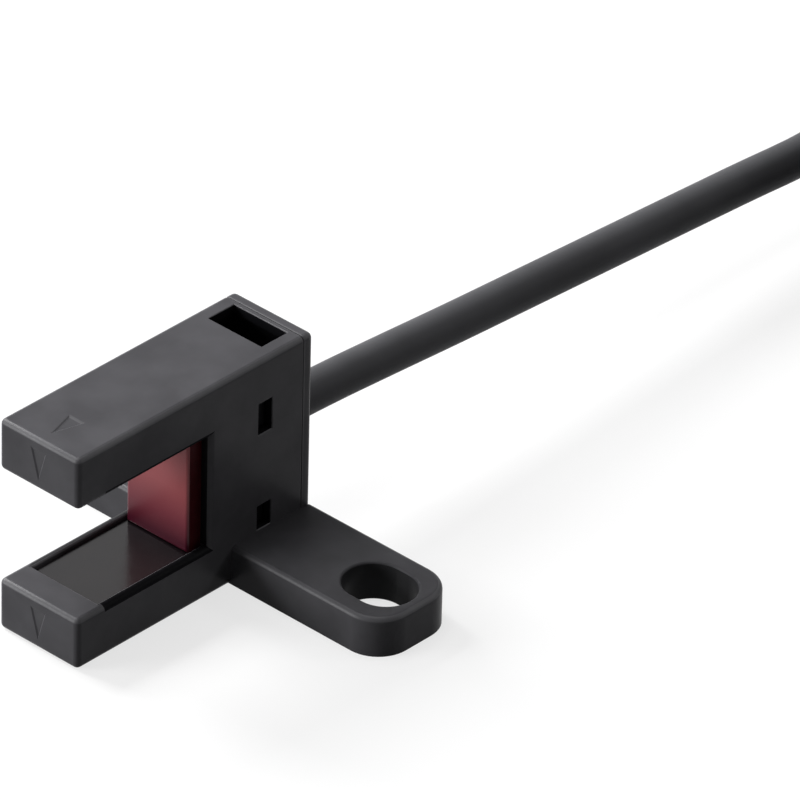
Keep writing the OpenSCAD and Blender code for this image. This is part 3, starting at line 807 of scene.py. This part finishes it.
# dark windows, with a slit inside on the optical axis
window = {"edge": 0.05 * mm, "edgeSteps": 2, "slit": (1.8 * mm, 0.5 * mm, 0.15 * mm), "axis": 2.7 * mm}


def addWindow(name, node, inward):
    low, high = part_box(node)
    bm = bmesh.new()
    addBlock(bm, low, high)
    roundEdges(bm, bm.edges, window["edge"], window["edgeSteps"])
    plate = toSolid(bm, name)
    long, wide, deep = window["slit"]
    middle = tipY + window["axis"]
    inner = low.z if inward < 0 else high.z
    foot, top = sorted((inner + inward * past, inner - inward * deep))
    slit = blockSolid((-long / 2, middle - wide / 2, foot), (long / 2, middle + wide / 2, top))
    combine(plate, "DIFFERENCE", [slit])
    smoothLook(plate)
    dressPiece(plate, "dark_window", node)


addWindow("lower_window", "receiver_window", -1)
addWindow("upper_window", "emitter_window", 1)
print("cover and windows made")

# the nodes that keep their own shape get their finish
slotOf = {part["node"]: part["material_slot"] for part in frame["record"]["subparts"]}
for name, node in nodes.items():
    node.data.materials.clear()
    node.data.materials.append(materials[slotOf[name]])

# floor, world and lamps: the background is white where it is seen, and gives little light of its own
studio = {
    "floor": 4.0, "matt": 0.9, "pale": 0.9, "bounce": 0.18, "white": 0.72, "ambient": 0.07,
    "lamps": {
        "left": {"at": (-0.47, -0.02, 0.36), "size": 0.22, "power": 4.7},
        "front": {"at": (-0.36, -0.45, 0.15), "size": 0.25, "power": 3.0},
        "top": {"at": (-0.14, 0.0, 0.58), "size": 0.30, "power": 1.2},
        "rim": {"at": (0.32, 0.37, 0.33), "size": 0.10, "power": 0.4},
    },
    "aim": (0, -4 * mm, 5 * mm),
}


def seenRays(tree):
    # rays that show the background itself: camera, glossy and transmission
    path = tree.nodes.new("ShaderNodeLightPath")
    total = path.outputs["Is Camera Ray"]
    for name in ("Is Glossy Ray", "Is Transmission Ray"):
        add = tree.nodes.new("ShaderNodeMath")
        add.operation = "MAXIMUM"
        tree.links.new(total, add.inputs[0])
        tree.links.new(path.outputs[name], add.inputs[1])
        total = add.outputs["Value"]
    return total


def addFloor():
    bm = bmesh.new()
    bmesh.ops.create_grid(bm, x_segments=1, y_segments=1, size=studio["floor"] / 2)
    mesh = bpy.data.meshes.new("floor")
    bm.to_mesh(mesh)
    bm.free()
    floor = bpy.data.objects.new("floor", mesh)
    bpy.context.scene.collection.objects.link(floor)
    material, tree, shader = newMaterial("floor")
    seen = seenRays(tree)
    shade = tree.nodes.new("ShaderNodeMapRange")
    shade.inputs["To Min"].default_value = studio["bounce"]
    shade.inputs["To Max"].default_value = studio["pale"]
    tree.links.new(seen, shade.inputs["Value"])
    tree.links.new(shade.outputs["Result"], shader.inputs["Base Color"])
    shader.inputs["Roughness"].default_value = studio["matt"]
    shader.inputs["Specular IOR Level"].default_value = 0.0
    glow = tree.nodes.new("ShaderNodeEmission")
    share = tree.nodes.new("ShaderNodeMath")
    share.operation = "MULTIPLY"
    share.inputs[1].default_value = studio["white"]
    mix = tree.nodes.new("ShaderNodeMixShader")
    tree.links.new(seen, share.inputs[0])
    tree.links.new(share.outputs["Value"], mix.inputs["Fac"])
    tree.links.new(shader.outputs["BSDF"], mix.inputs[1])
    tree.links.new(glow.outputs["Emission"], mix.inputs[2])
    tree.links.new(mix.outputs["Shader"], tree.nodes["Material Output"].inputs["Surface"])
    mesh.materials.append(material)


def addWorld():
    world = bpy.data.worlds.new("studio")
    world.use_nodes = True
    bpy.context.scene.world = world
    tree = world.node_tree
    background = tree.nodes["Background"]
    strength = tree.nodes.new("ShaderNodeMapRange")
    strength.inputs["To Min"].default_value = studio["ambient"]
    strength.inputs["To Max"].default_value = 1.0
    tree.links.new(seenRays(tree), strength.inputs["Value"])
    background.inputs["Color"].default_value = (1, 1, 1, 1)
    tree.links.new(strength.outputs["Result"], background.inputs["Strength"])


def addLamp(name, lamp):
    data = bpy.data.lights.new(name, "AREA")
    data.size = lamp["size"]
    data.energy = lamp["power"]
    light = bpy.data.objects.new(name, data)
    bpy.context.scene.collection.objects.link(light)
    light.location = lamp["at"]
    aim = Vector(studio["aim"]) - light.location
    light.rotation_euler = aim.to_track_quat("-Z", "Y").to_euler()


addFloor()
addWorld()
for name, lamp in studio["lamps"].items():
    addLamp(name, lamp)
bpy.context.scene.view_settings.view_transform = "Standard"
print("studio lit")
